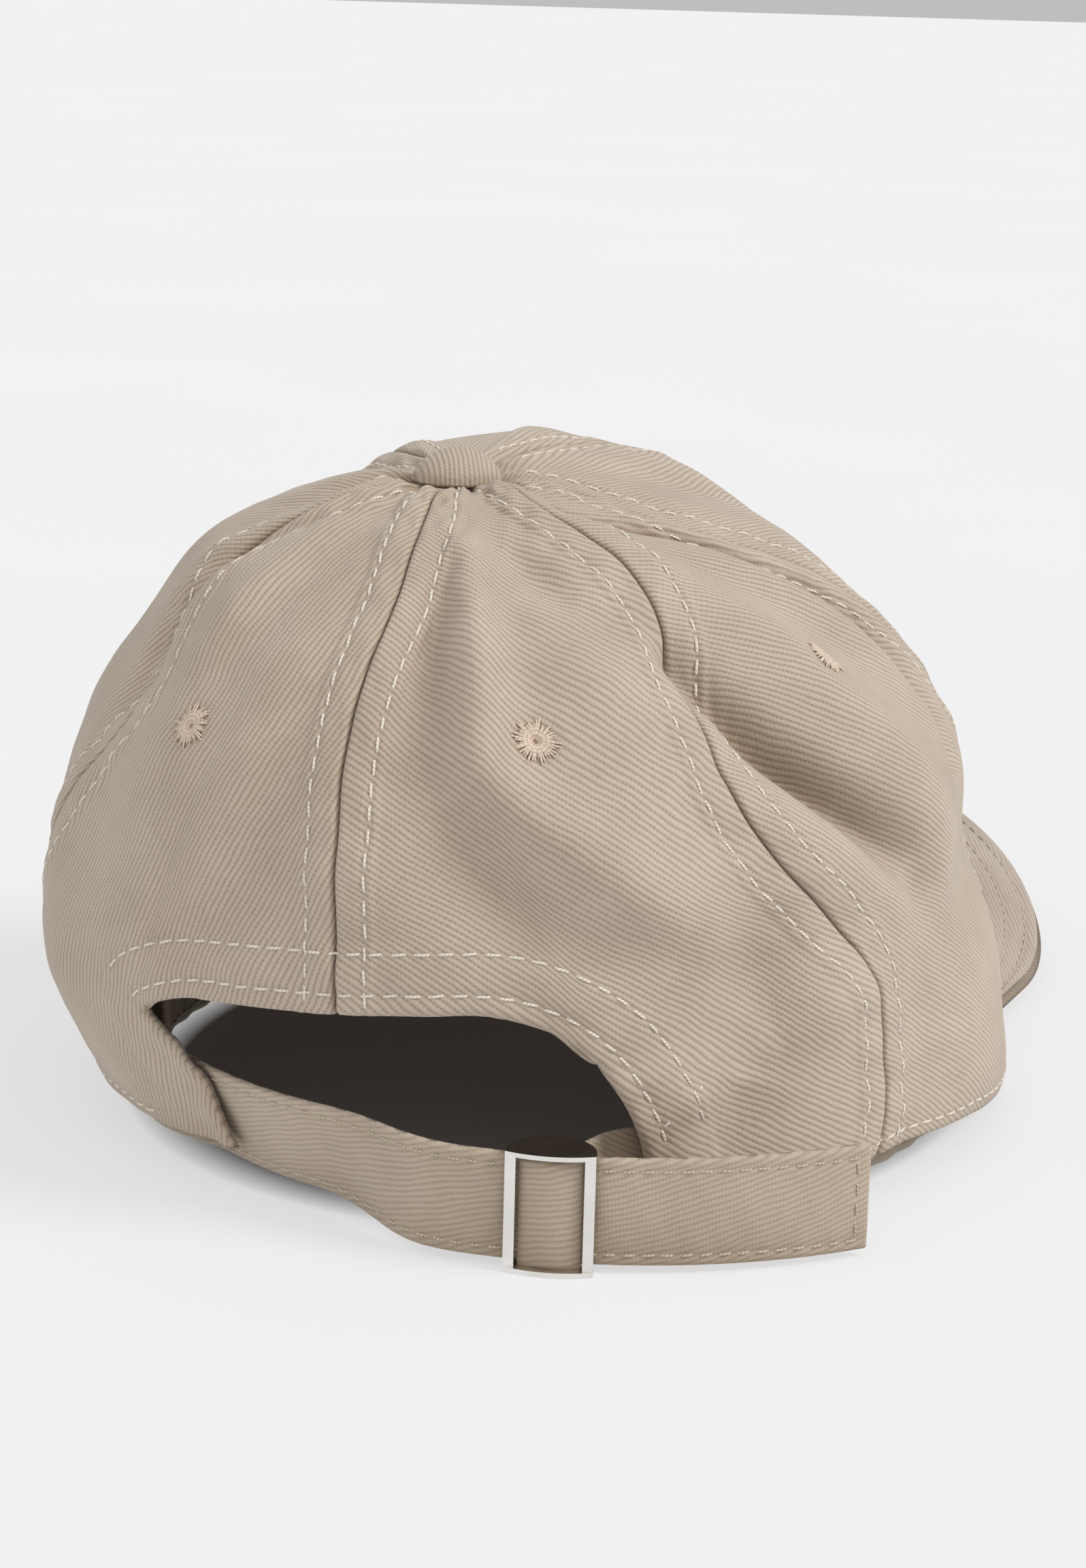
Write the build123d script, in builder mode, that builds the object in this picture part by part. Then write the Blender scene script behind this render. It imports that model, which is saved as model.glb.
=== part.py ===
from build123d import *
import math
import os

# A six-panel unstructured cotton cap with a curved visor and a fabric strap with a metal slide buckle.
# Millimetres. +Z up, floor at z = 0, visor towards -Y, back opening towards +Y, wearer's right towards -X.

# Crown
PANEL_THICKNESS = 1.2
# The crown's stations, from the rim up: height, half width, front, back, lean to the wearer's left.
CROWN_STATIONS = (
    (0.0, 84.0, -93.0, 92.0, 0.0),
    (9.0, 86.4, -94.0, 94.2, 1.2),
    (20.0, 88.4, -94.6, 96.2, 2.8),
    (32.0, 88.6, -94.4, 97.6, 4.8),
    (44.0, 87.8, -92.8, 98.1, 5.8),
    (56.0, 85.8, -89.5, 97.0, 5.6),
    (67.0, 82.6, -84.8, 94.9, 5.2),
    (77.0, 77.6, -79.2, 91.4, 4.8),
    (86.0, 71.0, -72.8, 86.0, 4.8),
    (94.0, 63.6, -65.5, 79.4, 5.2),
    (101.0, 55.6, -57.0, 71.4, 5.8),
    (107.0, 46.8, -48.0, 63.6, 6.4),
    (112.0, 36.8, -37.5, 56.2, 7.0),
    (116.0, 25.0, -22.0, 48.4, 7.6),
    (119.0, 9.0, 12.0, 38.5, 8.0),
)
RIM_HALF_WIDTH = 84.0
RIM_HALF_LENGTH = 93.0
CROWN_HEIGHT = 119.0
BUTTON_X = 8.0
BUTTON_Y = 29.0
# Where each seam reaches the rim, as an angle about the crown's centre.
SEAM_ANGLES = {
    "back": 94.0,
    "back_right": 155.0,
    "front_right": 215.0,
    "front": 270.0,
    "front_left": 325.0,
    "back_left": 390.0,
}
# Each panel lies between two seams.
PANELS = {
    "back_panel_right": ("back", "back_right"),
    "side_panel_right": ("back_right", "front_right"),
    "front_panel_right": ("front_right", "front"),
    "front_panel_left": ("front", "front_left"),
    "side_panel_left": ("front_left", "back_left"),
    "back_panel_left": ("back_left", "back"),
}
LOFT_SEAM = 50.0  # the loft's own edges run here, between the cap's seams
CUT_MARGIN = 5.0  # how far a cutting solid runs past what it cuts
SEAM_REACH = 3.0  # how far past the rim a seam's cutting plane runs, in button-to-rim lengths

# Back opening
ARCH_X = -6.0  # the opening sits a little to the wearer's right of the middle
ARCH_HALF_WIDTH = 46.0
ARCH_HEIGHT = 36.5
ARCH_CORNER = 20.0
ARCH_FACING_WIDTH = 9.0
ARCH_DEPTH = 120.0

# Embroidered eyelets: panel, angle about a point on the crown's middle line, height
EYELET_CENTRE_Y = 5.0
EYELETS = (
    ("eyelet_back_right", "back_panel_right", 119.0, 84.0),
    ("eyelet_side_right", "side_panel_right", 166.0, 90.0),
    ("eyelet_front_right", "front_panel_right", 240.0, 84.0),
    ("eyelet_front_left", "front_panel_left", 300.0, 84.0),
    ("eyelet_side_left", "side_panel_left", 2.0, 84.0),
    ("eyelet_back_left", "back_panel_left", 68.0, 80.0),
)
EYELET_RADIUS = 3.8
EYELET_HOLE = 1.1
EYELET_THICKNESS = 2.2

# Linings
LINING_GAP = 0.1
TAPE_WIDTH = 12.0
TAPE_THICKNESS = 0.6
TAPE_END_RADIUS = 19.0  # the tapes stop this far from the button, short of one another
TAPE_START = {
    "back": 47.0,
    "back_right": 36.0,
    "front_right": 38.0,
    "front": 57.0,
    "front_left": 38.0,
    "back_left": 36.0,
}
SWEATBAND_CENTRE = (-1.5, 0.0)
SWEATBAND_RADII = (77.0, 87.0)
SWEATBAND_THICKNESS = 1.6
SWEATBAND_WIDTH = 30.0

# Visor: three layers bent over a cylinder that lies along Y
VISOR_UNDER_RADIUS = 120.0
VISOR_HALF_WIDTH = 73.0
VISOR_TIP = -157.0
VISOR_SHOULDER = -84.0  # where the straight sides end and the rounded front starts
VISOR_COVER = 0.8
VISOR_BOARD = 1.8
VISOR_BOARD_MARGIN = 4.0
VISOR_GAP = 0.7  # between the crown's wall and the visor's back edge
VISOR_BACK = -20.0
VISOR_AXIS_Z = -math.sqrt(VISOR_UNDER_RADIUS**2 - VISOR_HALF_WIDTH**2)

# Top button
BUTTON_BASE = CROWN_HEIGHT
COVER_RADIUS = 8.0
COVER_HEIGHT = 5.4
COVER_THICKNESS = 0.8
SHELL_THICKNESS = 0.5
POST_RADIUS = 1.5
POST_GAP = 0.3  # between the post's end and the shell's crown
WASHER_RADIUS = 6.0
WASHER_THICKNESS = 0.6

# Adjuster strap: a band that lies along a circle about a vertical axis
STRAP_CENTRE = (-14.5, 4.2)
STRAP_RADIUS = 92.0
STRAP_THICKNESS = 1.8
STRAP_BOTTOM = 1.1
STRAP_HEIGHT = 18.8
STRAP_SEWN_ANGLE = 27.5  # end tucked between the back left panel and the sweatband
STRAP_TAIL_ANGLE = 140.5  # free end

# Slide buckle
BUCKLE_ANGLE = 108.0
BUCKLE_HALF_WIDTH = 7.5
BUCKLE_HEIGHT = 21.0
BUCKLE_PLATE = 0.8
BUCKLE_BAR_WIDTH = 1.8
BUCKLE_BAR_DEPTH = 1.6
BUCKLE_BACK = 86.2  # distances from the strap's circle centre
BUCKLE_FACE = 93.1
BUCKLE_BULGE = 1.4
CENTRE_BAR_RADIUS = 1.0
CENTRE_BAR_DISTANCE = 88.3

# Anchor tab: looped round the centre bar, sewn inside the back right panel
TAB_THICKNESS = 1.2
TAB_HEIGHT = 17.6
TAB_BOTTOM = 1.7
TAB_GAP = 0.1
TAB_CORNER = (-44.2, 75.2)
TAB_END = (-60.0, 61.3)


def crown_solid(inset):
    """The crown's full volume, with its surface moved inwards by inset."""
    with BuildPart() as solid:
        for height, half_width, front, back, lean in CROWN_STATIONS:
            level = height * (1 - inset / CROWN_HEIGHT)
            with BuildSketch(Plane.XY.offset(level)):
                with BuildLine():
                    for half in (LOFT_SEAM, LOFT_SEAM + 180.0):
                        EllipticalCenterArc(
                            (lean, (front + back) / 2),
                            half_width - inset,
                            (back - front) / 2 - inset,
                            start_angle=half,
                            arc_size=180,
                        )
                make_face()
        loft(ruled=True)
    return solid.part


def crown_layer(outer, inner):
    """The part of the crown's wall between two insets, open at the rim."""
    with BuildPart() as layer:
        add(crown_solid(outer))
        add(crown_solid(inner), mode=Mode.SUBTRACT)
    return layer.part


def rim_point(angle):
    """The point where a seam at this angle meets the rim."""
    turn = math.radians(angle)
    return (RIM_HALF_WIDTH * math.cos(turn), RIM_HALF_LENGTH * math.sin(turn))


def seam_far_point(seam):
    """A point on the seam's plane, well outside the crown."""
    x, y = rim_point(SEAM_ANGLES[seam])
    return (BUTTON_X + (x - BUTTON_X) * SEAM_REACH, BUTTON_Y + (y - BUTTON_Y) * SEAM_REACH)


def arch_prism(margin):
    """The back opening's outline, widened by margin and run out towards the back."""
    with BuildPart() as prism:
        with BuildSketch(Plane.XZ):
            with Locations((ARCH_X, 0)):
                RectangleRounded(
                    2 * (ARCH_HALF_WIDTH + margin), 2 * (ARCH_HEIGHT + margin), ARCH_CORNER + margin
                )
        extrude(amount=-ARCH_DEPTH)
    return prism.part


def front_cylinder(radius, rise):
    """A cylinder along Y under the front of the cap, which the visor and the front rim follow."""
    with BuildPart() as cylinder:
        with BuildSketch(Plane.XZ.offset(-VISOR_BACK)):
            with Locations((0, VISOR_AXIS_Z + rise)):
                Circle(radius)
        extrude(amount=-VISOR_TIP * 2)
    return cylinder.part


def visor_outline(margin):
    """The visor seen from above, drawn in by margin, with a straight back that lies inside the crown."""
    side = VISOR_HALF_WIDTH - margin
    tip = VISOR_TIP + margin
    with BuildSketch() as outline:
        with BuildLine():
            front = EllipticalCenterArc(
                (0, VISOR_SHOULDER), side, VISOR_SHOULDER - tip, start_angle=180, arc_size=180
            )
            Polyline(front @ 0, (-side, VISOR_BACK), (side, VISOR_BACK), front @ 1)
        make_face()
    return outline.sketch


def visor_layer(inner_radius, thickness, margin):
    """One layer of the visor: a bent plate that stops just in front of the crown's wall."""
    with BuildPart() as layer:
        add(visor_outline(margin))
        extrude(amount=CROWN_HEIGHT)
        add(front_cylinder(inner_radius + thickness, 0), mode=Mode.INTERSECT)
        add(front_cylinder(inner_radius, 0), mode=Mode.SUBTRACT)
        add(crown_solid(-VISOR_GAP), mode=Mode.SUBTRACT)
    return layer.part


def strap_point(angle, distance, across=0.0):
    """A point at a distance from the strap's circle centre, and across the radius towards the tail."""
    turn = math.radians(angle)
    x = STRAP_CENTRE[0] + distance * math.cos(turn) - across * math.sin(turn)
    y = STRAP_CENTRE[1] + distance * math.sin(turn) + across * math.cos(turn)
    return (x, y)


def write(builder, name):
    """Label a finished piece and write it to its own file."""
    builder.part.label = name
    export_step(builder.part, f"parts/{name}.step")


os.makedirs("parts", exist_ok=True)

crown_outside = crown_solid(0)
crown_wall = crown_layer(0, PANEL_THICKNESS)
under_visor = front_cylinder(VISOR_UNDER_RADIUS, 0)
back_opening = arch_prism(0)

# Eyelets sit square to the wall, each round its own small hole.
eyelet_planes = {}
for name, panel_name, angle, height in EYELETS:
    turn = math.radians(angle)
    inside = Axis((BUTTON_X, EYELET_CENTRE_Y, height), (math.cos(turn), math.sin(turn), 0))
    hits = crown_outside.find_intersection_points(inside)
    point, normal = max(hits, key=lambda hit: (hit[0] - inside.position).dot(inside.direction))
    eyelet_planes[name] = Plane(origin=point, z_dir=normal)

for name, (first, second) in PANELS.items():
    with BuildPart() as panel:
        add(crown_wall)
        with BuildSketch(Plane.XY.offset(-CUT_MARGIN)):
            with BuildLine():
                Polyline(
                    (BUTTON_X, BUTTON_Y), seam_far_point(first), seam_far_point(second), close=True
                )
            make_face()
        extrude(amount=CROWN_HEIGHT + 2 * CUT_MARGIN, mode=Mode.INTERSECT)
        add(under_visor, mode=Mode.SUBTRACT)
        if name.startswith("back"):
            add(back_opening, mode=Mode.SUBTRACT)
        with BuildSketch(Plane.XY):
            with Locations((BUTTON_X, BUTTON_Y)):
                Circle(POST_RADIUS)
        extrude(amount=CROWN_HEIGHT + CUT_MARGIN, mode=Mode.SUBTRACT)
        for eyelet_name, panel_name, angle, height in EYELETS:
            if panel_name == name:
                with BuildSketch(eyelet_planes[eyelet_name]):
                    Circle(EYELET_RADIUS)
                extrude(amount=EYELET_THICKNESS * 2, both=True, mode=Mode.SUBTRACT)
    write(panel, name)

for name, plane in eyelet_planes.items():
    with BuildPart() as eyelet:
        with BuildSketch(plane.offset(-EYELET_THICKNESS + (EYELET_THICKNESS - PANEL_THICKNESS) / 2)):
            Circle(EYELET_RADIUS)
            Circle(EYELET_HOLE, mode=Mode.SUBTRACT)
        extrude(amount=EYELET_THICKNESS)
        fillet(eyelet.edges().filter_by(GeomType.CIRCLE), EYELET_THICKNESS * 0.2)
    write(eyelet, name)

# Seam tapes: a strip over each seam on the inside.
tape_layer = crown_layer(PANEL_THICKNESS + LINING_GAP, PANEL_THICKNESS + LINING_GAP + TAPE_THICKNESS)
for seam, start in TAPE_START.items():
    far_x, far_y = seam_far_point(seam)
    heading = math.degrees(math.atan2(far_y - BUTTON_Y, far_x - BUTTON_X))
    with BuildPart() as tape:
        add(tape_layer)
        with BuildSketch(Plane.XY.offset(start)):
            with Locations(Location((BUTTON_X, BUTTON_Y), heading)):
                with Locations((TAPE_END_RADIUS, 0)):
                    Rectangle(2 * CROWN_HEIGHT, TAPE_WIDTH, align=(Align.MIN, Align.CENTER))
        extrude(amount=CROWN_HEIGHT, mode=Mode.INTERSECT)
    write(tape, f"seam_tape_{seam}")

# Facing: a strip that finishes the back opening's edge on the inside, above the strap.
with BuildPart() as arch_facing:
    add(tape_layer)
    add(arch_prism(ARCH_FACING_WIDTH), mode=Mode.INTERSECT)
    add(arch_prism(0), mode=Mode.SUBTRACT)
    with BuildSketch(Plane.XY):
        Rectangle(4 * RIM_HALF_WIDTH, 4 * RIM_HALF_LENGTH)
    extrude(amount=STRAP_BOTTOM + STRAP_HEIGHT + 1.0, mode=Mode.SUBTRACT)
write(arch_facing, "arch_facing")

# Sweatband: an upright band that follows the rim and stops at the back opening.
band_top = front_cylinder(VISOR_UNDER_RADIUS, SWEATBAND_WIDTH)
with BuildPart() as sweatband:
    with BuildSketch():
        with Locations(SWEATBAND_CENTRE):
            Ellipse(*SWEATBAND_RADII)
            Ellipse(
                SWEATBAND_RADII[0] - SWEATBAND_THICKNESS,
                SWEATBAND_RADII[1] - SWEATBAND_THICKNESS,
                mode=Mode.SUBTRACT,
            )
    extrude(amount=SWEATBAND_WIDTH * 2)
    with BuildPart(mode=Mode.PRIVATE) as band_zone:
        with BuildSketch():
            Rectangle(4 * RIM_HALF_WIDTH, 4 * RIM_HALF_LENGTH)
        extrude(amount=SWEATBAND_WIDTH)
        add(band_top)
    add(band_zone.part, mode=Mode.INTERSECT)
    add(under_visor, mode=Mode.SUBTRACT)
    add(back_opening, mode=Mode.SUBTRACT)
write(sweatband, "sweatband")

# Visor
with BuildPart() as visor_under_cover:
    add(visor_layer(VISOR_UNDER_RADIUS, VISOR_COVER, 0))
write(visor_under_cover, "visor_under_cover")

board_radius = VISOR_UNDER_RADIUS + VISOR_COVER
with BuildPart() as visor_board:
    add(visor_layer(board_radius, VISOR_BOARD, VISOR_BOARD_MARGIN))
write(visor_board, "visor_board")

with BuildPart() as visor_top_cover:
    add(visor_layer(board_radius + VISOR_BOARD, VISOR_COVER, 0))
write(visor_top_cover, "visor_top_cover")


button_axis = Axis((BUTTON_X, BUTTON_Y, 0), (0, 0, 1))


def dome_arc(radius, height):
    """Half the section of a round dome of this base radius and height, from its foot to its top."""
    ball = (radius**2 + height**2) / (2 * height)
    foot = math.degrees(math.asin((ball - height) / ball))
    return CenterArc((BUTTON_X, BUTTON_BASE + height - ball), ball, foot, 90 - foot)


def domed_cap(radius, height, thickness):
    """A hollow domed cap that sits on the top of the crown."""
    with BuildPart() as cap:
        with BuildSketch(Plane.XZ.offset(-BUTTON_Y)):
            with BuildLine():
                outside = dome_arc(radius, height)
                inside = dome_arc(radius - thickness, height - thickness)
                Line(outside @ 0, inside @ 0)
                Line(outside @ 1, inside @ 1)
            make_face()
        revolve(axis=button_axis)
    return cap.part


with BuildPart() as button_cover:
    add(domed_cap(COVER_RADIUS, COVER_HEIGHT, COVER_THICKNESS))
write(button_cover, "button_cover")

shell_radius = COVER_RADIUS - COVER_THICKNESS
shell_height = COVER_HEIGHT - COVER_THICKNESS
with BuildPart() as button_shell:
    add(domed_cap(shell_radius, shell_height, SHELL_THICKNESS))
write(button_shell, "button_shell")

washer_top = CROWN_HEIGHT - PANEL_THICKNESS
post_bottom = washer_top - WASHER_THICKNESS
post_top = BUTTON_BASE + shell_height - SHELL_THICKNESS - POST_GAP
with BuildPart() as button_post:
    with BuildSketch(Plane.XY.offset(post_bottom)):
        with Locations((BUTTON_X, BUTTON_Y)):
            Circle(POST_RADIUS)
    extrude(amount=post_top - post_bottom)
write(button_post, "button_post")

with BuildPart() as button_washer:
    with BuildSketch(Plane.XY.offset(post_bottom)):
        with Locations((BUTTON_X, BUTTON_Y)):
            Circle(WASHER_RADIUS)
            Circle(POST_RADIUS, mode=Mode.SUBTRACT)
    extrude(amount=WASHER_THICKNESS)
write(button_washer, "button_washer")

# Strap
with BuildPart() as strap:
    outer = STRAP_RADIUS + STRAP_THICKNESS / 2
    inner = STRAP_RADIUS - STRAP_THICKNESS / 2
    middle_angle = (STRAP_SEWN_ANGLE + STRAP_TAIL_ANGLE) / 2
    with BuildSketch(Plane.XY.offset(STRAP_BOTTOM)):
        with BuildLine():
            outer_arc = ThreePointArc(
                strap_point(STRAP_SEWN_ANGLE, outer),
                strap_point(middle_angle, outer),
                strap_point(STRAP_TAIL_ANGLE, outer),
            )
            inner_arc = ThreePointArc(
                strap_point(STRAP_SEWN_ANGLE, inner),
                strap_point(middle_angle, inner),
                strap_point(STRAP_TAIL_ANGLE, inner),
            )
            Line(outer_arc @ 0, inner_arc @ 0)
            Line(outer_arc @ 1, inner_arc @ 1)
        make_face()
    extrude(amount=STRAP_HEIGHT)
write(strap, "strap")

# Buckle frame: two upright bars in front of the strap, joined by a lens-shaped plate at each end.
with BuildPart() as buckle_frame:
    for level in (0, BUCKLE_HEIGHT - BUCKLE_PLATE):
        with BuildSketch(Plane.XY.offset(level)):
            with BuildLine():
                front_arc = ThreePointArc(
                    strap_point(BUCKLE_ANGLE, BUCKLE_FACE + BUCKLE_BAR_DEPTH, -BUCKLE_HALF_WIDTH),
                    strap_point(BUCKLE_ANGLE, BUCKLE_FACE + BUCKLE_BAR_DEPTH + BUCKLE_BULGE),
                    strap_point(BUCKLE_ANGLE, BUCKLE_FACE + BUCKLE_BAR_DEPTH, BUCKLE_HALF_WIDTH),
                )
                back_arc = ThreePointArc(
                    strap_point(BUCKLE_ANGLE, BUCKLE_FACE, -BUCKLE_HALF_WIDTH),
                    strap_point(BUCKLE_ANGLE, BUCKLE_BACK),
                    strap_point(BUCKLE_ANGLE, BUCKLE_FACE, BUCKLE_HALF_WIDTH),
                )
                Line(front_arc @ 0, back_arc @ 0)
                Line(front_arc @ 1, back_arc @ 1)
            make_face()
        extrude(amount=BUCKLE_PLATE)
    for side in (-1, 1):
        bar_across = side * (BUCKLE_HALF_WIDTH - BUCKLE_BAR_WIDTH / 2)
        bar_place = strap_point(BUCKLE_ANGLE, BUCKLE_FACE + BUCKLE_BAR_DEPTH / 2, bar_across)
        with BuildSketch(Plane.XY):
            with Locations(Location(bar_place, BUCKLE_ANGLE)):
                Rectangle(BUCKLE_BAR_DEPTH, BUCKLE_BAR_WIDTH)
        extrude(amount=BUCKLE_HEIGHT)
write(buckle_frame, "buckle_frame")

with BuildPart() as buckle_centre_bar:
    with BuildSketch(Plane.XY.offset(BUCKLE_PLATE)):
        with Locations(strap_point(BUCKLE_ANGLE, CENTRE_BAR_DISTANCE)):
            Circle(CENTRE_BAR_RADIUS)
    extrude(amount=BUCKLE_HEIGHT - 2 * BUCKLE_PLATE)
write(buckle_centre_bar, "buckle_centre_bar")

# Anchor tab: a loop round the centre bar and a run back inside the crown.
with BuildPart() as anchor_tab:
    loop_inner = CENTRE_BAR_RADIUS + TAB_GAP
    loop_middle = loop_inner + TAB_THICKNESS / 2
    bar_x, bar_y = strap_point(BUCKLE_ANGLE, CENTRE_BAR_DISTANCE)
    with BuildSketch(Plane.XY.offset(TAB_BOTTOM)):
        with BuildLine():
            Polyline((bar_x + loop_middle * 0.2, bar_y - loop_middle), TAB_CORNER, TAB_END)
            offset(amount=TAB_THICKNESS / 2, side=Side.BOTH)
        make_face()
        with Locations((bar_x, bar_y)):
            Circle(loop_inner + TAB_THICKNESS)
            Circle(loop_inner, mode=Mode.SUBTRACT)
    extrude(amount=TAB_HEIGHT)
write(anchor_tab, "anchor_tab")
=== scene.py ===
import math

import bpy
import numpy as np
from mathutils import Matrix, Vector


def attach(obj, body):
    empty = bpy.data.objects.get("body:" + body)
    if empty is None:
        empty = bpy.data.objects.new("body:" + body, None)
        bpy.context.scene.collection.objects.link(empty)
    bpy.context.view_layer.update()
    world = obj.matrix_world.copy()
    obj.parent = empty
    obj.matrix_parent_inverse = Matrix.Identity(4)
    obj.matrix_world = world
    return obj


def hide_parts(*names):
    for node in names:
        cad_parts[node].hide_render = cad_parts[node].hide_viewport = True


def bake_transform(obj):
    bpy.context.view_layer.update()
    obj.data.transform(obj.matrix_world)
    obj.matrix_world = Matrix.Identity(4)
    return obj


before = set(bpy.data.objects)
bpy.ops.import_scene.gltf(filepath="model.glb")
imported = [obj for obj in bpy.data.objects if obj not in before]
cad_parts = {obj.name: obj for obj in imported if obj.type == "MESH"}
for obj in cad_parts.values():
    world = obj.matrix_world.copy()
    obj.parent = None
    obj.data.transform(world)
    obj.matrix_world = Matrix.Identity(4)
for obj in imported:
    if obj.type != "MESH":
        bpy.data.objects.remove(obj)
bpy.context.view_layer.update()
rng = np.random.default_rng(11)
MM = 0.001

# Everything below is in millimetres in the row frame until a mesh is written.
# Crown sections, as in the CAD crown: height, half width, front, back, lean to the wearer's left.
SECTIONS = np.array([
    (0, 84.0, -93.0, 92.0, 0.0), (9, 86.4, -94.0, 94.2, 1.2), (20, 88.4, -94.6, 96.2, 2.8),
    (32, 88.6, -94.4, 97.6, 4.8), (44, 87.8, -92.8, 98.1, 5.8), (56, 85.8, -89.5, 97.0, 5.6),
    (67, 82.6, -84.8, 94.9, 5.2), (77, 77.6, -79.2, 91.4, 4.8), (86, 71.0, -72.8, 86.0, 4.8),
    (94, 63.6, -65.5, 79.4, 5.2), (101, 55.6, -57.0, 71.4, 5.8), (107, 46.8, -48.0, 63.6, 6.4),
    (112, 36.8, -37.5, 56.2, 7.0), (116, 25.0, -22.0, 48.4, 7.6), (119, 9.0, 12.0, 38.5, 8.0),
    (119.6, 1.5, 27.0, 31.0, 8.0)], float)
BUTTON = (8.0, 29.0)
TOP = 0.985              # share of the rim-to-button length that the panels reach under the button
CLOTH = 1.2
PITCH = 3.8              # top-stitch length, hole to hole
VISOR_AXIS_Z = -95.24     # the visor's faces lie on cylinders about this height
VISOR_UNDER = 120.0       # radius of the lowest of them
VISOR_TOP, VISOR_BELOW = (2.6, 3.5), (0.0, 0.8)   # faces of the top and under cloth above it
VISOR_REACH = 72.5        # beyond this the visor drops no further
BACK = 100.0              # angle of the opening's middle; the flattened crown is measured from it
FLAT_RADIUS = 70          # radius of the flattened crown
ROW_DEPTH, ROW_WIDE = 0.34, 0.75   # groove that a row of stitching pulls into the cloth
HEM_ROW = 4.2             # the hem's stitching above the rim
LINING_INSET, LINING_THICK = 1.75, 0.55


def curve(x, xs, ys):
    """A smooth curve through the points (xs, ys); ys may have several columns."""
    xs, ys = np.asarray(xs, float), np.asarray(ys, float)
    x = np.clip(np.asarray(x, float), xs[0], xs[-1])
    slope = np.gradient(ys, xs, axis=0)
    i = np.clip(np.searchsorted(xs, x, side="right") - 1, 0, len(xs) - 2)
    h = xs[i + 1] - xs[i]
    t = (x - xs[i]) / h
    if ys.ndim == 2:
        h, t = h[..., None], t[..., None]
    a = (2 * t**3 - 3 * t**2 + 1) * ys[i] + (t**3 - 2 * t**2 + t) * h * slope[i]
    return a + (3 * t**2 - 2 * t**3) * ys[i + 1] + (t**3 - t**2) * h * slope[i + 1]


def step(x, a, b):
    """0 at a and before, 1 at b and after, smooth between."""
    t = np.clip((np.asarray(x, float) - a) / (b - a), 0, 1)
    return t * t * (3 - 2 * t)


def turn(a):
    """An angle in degrees as -180 to 180."""
    return (np.asarray(a) + 180) % 360 - 180


def groove(gap, half):
    """A rounded groove or bar, 1 on its middle line and 0 well away from it."""
    return np.exp(-(gap / half) ** 2)


def edge_share(gap, reach):
    """1 on an edge, falling evenly to 0 at the distance reach."""
    return np.clip(1 - gap / reach, 0, 1)


def round_off(gap, reach):
    """How far a rounded edge has dropped, 1 on the edge and 0 from the distance reach."""
    return 1 - np.sqrt(1 - edge_share(gap, reach) ** 2)


def unit(v):
    return v / (np.linalg.norm(v, axis=-1, keepdims=True) + 1e-9)


mean_radius = (SECTIONS[:, 1] + (SECTIONS[:, 3] - SECTIONS[:, 2]) / 2) / 2
run = np.concatenate([[0], np.cumsum(np.hypot(np.diff(mean_radius), np.diff(SECTIONS[:, 0])))])
LENGTH = run[-1]
KNOTS = run / LENGTH
fine_t = np.linspace(0, 1, 2001)
fine_z = np.maximum.accumulate(curve(fine_t, KNOTS, SECTIONS[:, 0]))


def t_at(z):
    return np.interp(z, fine_z, fine_t)


def z_at(t):
    return np.interp(t, fine_t, fine_z)


def plain(b, t):
    """The crown's smooth shape at angle b (degrees about the button) and share t from rim to button."""
    b, t = np.broadcast_arrays(np.asarray(b, float), np.asarray(t, float))
    q = curve(t, KNOTS, SECTIONS)
    z, half, front, back, lean = (q[..., i] for i in range(5))
    mid, deep = (front + back) / 2, (back - front) / 2
    dx, dy = np.cos(np.radians(b)), np.sin(np.radians(b))
    ox, oy, ux, uy = (BUTTON[0] - lean) / half, (BUTTON[1] - mid) / deep, dx / half, dy / deep
    aa, bb, cc = ux * ux + uy * uy, ox * ux + oy * uy, ox * ox + oy * oy - 1
    k = (-bb + np.sqrt(np.maximum(bb * bb - aa * cc, 0))) / aa
    return np.stack([BUTTON[0] + k * dx, BUTTON[1] + k * dy, z], -1)


def from_button(p):
    """Distance from the button's axis."""
    return np.hypot(p[..., 0] - BUTTON[0], p[..., 1] - BUTTON[1])


def normal_of(shape, b, t):
    db = shape(b + 0.3, t) - shape(b - 0.3, t)
    dt = shape(b, np.minimum(t + 0.004, 1)) - shape(b, np.maximum(t - 0.004, 0))
    return unit(np.cross(db, dt))


def patch(b, z, b0, z0, wide, high):
    """A soft round spot of the crown, 1 at its middle."""
    return np.exp(-(turn(b - b0) / wide) ** 2 - ((z - z0) / high) ** 2)


# How the soft crown really hangs: angle, height, spread in angle, spread in height, push outwards.
SLUMP = [
    (205, 4, 30, 12, 3.5), (205, 50, 28, 14, -2.5), (30, 40, 40, 45, 1.0), (26, 76, 26, 14, -2.4),
    (36, 102, 26, 9, 4.6), (6, 107, 20, 8, 2.6), (265, 118, 50, 9, 5.5), (222, 115, 32, 9, -3.6),
    (212, 84, 22, 13, -1.4), (20, 98, 16, 12, -0.5), (158, 34, 11, 11, -2.0), (140, 60, 16, 14, 1.2),
]
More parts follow.
